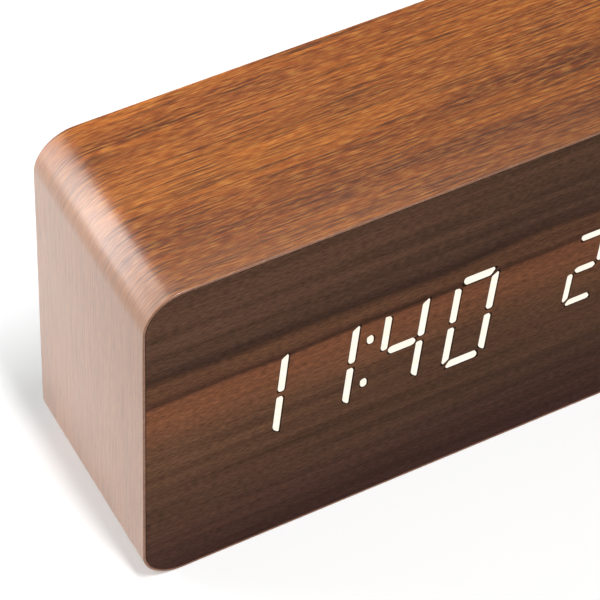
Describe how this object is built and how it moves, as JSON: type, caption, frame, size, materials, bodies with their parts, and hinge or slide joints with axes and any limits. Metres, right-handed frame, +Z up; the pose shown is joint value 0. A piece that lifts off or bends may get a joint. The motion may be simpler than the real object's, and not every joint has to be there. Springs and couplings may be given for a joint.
{
  "type": "desk alarm clock",
  "caption": "Wooden digital alarm clock: veneered block with rounded long edges, lit seven-segment time and temperature on the front, buttons and battery door behind.",
  "frame": {"origin": "middle of the base, on the surface the clock stands on", "axes": "+X to the right seen from the front, +Y to the back, +Z up; the display faces -Y"},
  "size_m": [0.13, 0.038, 0.07],
  "materials": {
    "walnut_wrap": "satin walnut-grain veneer, clear lacquer",
    "dark_walnut": "satin dark walnut veneer, open pores",
    "lit_display": "lit from behind, warm white",
    "fibreboard": "raw machined fibreboard",
    "diffuser": "translucent sheet",
    "reflector": "moulded white",
    "circuit_board": "solder-masked laminate",
    "lamp": "phosphor-filled resin",
    "zinc_steel": "zinc plated",
    "black_screw": "black oxide",
    "chip_black": "moulded epoxy",
    "cover_black": "spark-textured moulding",
    "button_grey": "satin moulding",
    "battery_jacket": "shrunk plastic sleeve, steel ends",
    "nickel": "nickel plated",
    "wire_jacket": "extruded vinyl",
    "ribbon_grey": "extruded vinyl",
    "header_cream": "moulded nylon",
    "capacitor_sleeve": "shrunk plastic sleeve",
    "sensor_resin": "dipped epoxy"
  },
  "bodies": {
    "case": {"veneer_wrap": "walnut_wrap", "base_sheet": "walnut_wrap", "front_veneer": "dark_walnut", "lit_segments": "lit_display", "case_shell": "fibreboard", "diffuser_sheet": "diffuser", "segment_reflector": "reflector", "display_board": "circuit_board", "segment_lamps": "lamp", "display_screws": "zinc_steel", "driver_chip": "chip_black", "back_cover": "cover_black", "cover_screws": "black_screw", "battery_top": "battery_jacket", "battery_middle": "battery_jacket", "battery_bottom": "battery_jacket", "battery_springs": "nickel", "battery_plates": "nickel", "key_board": "circuit_board", "board_screws": "zinc_steel", "switch_housings": "chip_black", "socket_shell": "nickel", "socket_insert": "chip_black", "buzzer": "chip_black", "temperature_sensor": "sensor_resin", "backup_holder": "header_cream", "backup_cell": "nickel", "clock_chip": "chip_black", "crystal": "nickel", "capacitor": "capacitor_sleeve", "ribbon_cable": "ribbon_grey", "ribbon_headers": "header_cream", "battery_leads": "wire_jacket"},
    "set_button": {"set_button": "button_grey"},
    "up_button": {"up_button": "button_grey"},
    "down_button": {"down_button": "button_grey"},
    "set_plunger": {"set_plunger": "chip_black"},
    "up_plunger": {"up_plunger": "chip_black"},
    "down_plunger": {"down_plunger": "chip_black"},
    "battery_door": {"battery_door": "cover_black"}
  },
  "joints": [
    {"name": "set_press", "type": "slide", "parent": "case", "child": "set_button", "axis": [0, -1, 0], "range_m": [0, 0.0005], "stiffness_N_per_m": 400},
    {"name": "set_plunge", "type": "slide", "parent": "case", "child": "set_plunger", "axis": [0, -1, 0], "range_m": [0, 0.0005]},
    {"name": "up_press", "type": "slide", "parent": "case", "child": "up_button", "axis": [0, -1, 0], "range_m": [0, 0.0005], "stiffness_N_per_m": 400},
    {"name": "up_plunge", "type": "slide", "parent": "case", "child": "up_plunger", "axis": [0, -1, 0], "range_m": [0, 0.0005]},
    {"name": "down_press", "type": "slide", "parent": "case", "child": "down_button", "axis": [0, -1, 0], "range_m": [0, 0.0005], "stiffness_N_per_m": 400},
    {"name": "down_plunge", "type": "slide", "parent": "case", "child": "down_plunger", "axis": [0, -1, 0], "range_m": [0, 0.0005]},
    {"name": "door_swing", "type": "hinge", "parent": "case", "child": "battery_door", "pos_m": [-0.023, 0.0168, 0.0526], "axis": [1, 0, 0], "range_deg": [0, 95]}
  ],
  "couplings": [
    {"joint": "set_plunge", "follows": "set_press", "ratio": 1},
    {"joint": "up_plunge", "follows": "up_press", "ratio": 1},
    {"joint": "down_plunge", "follows": "down_press", "ratio": 1}
  ]
}
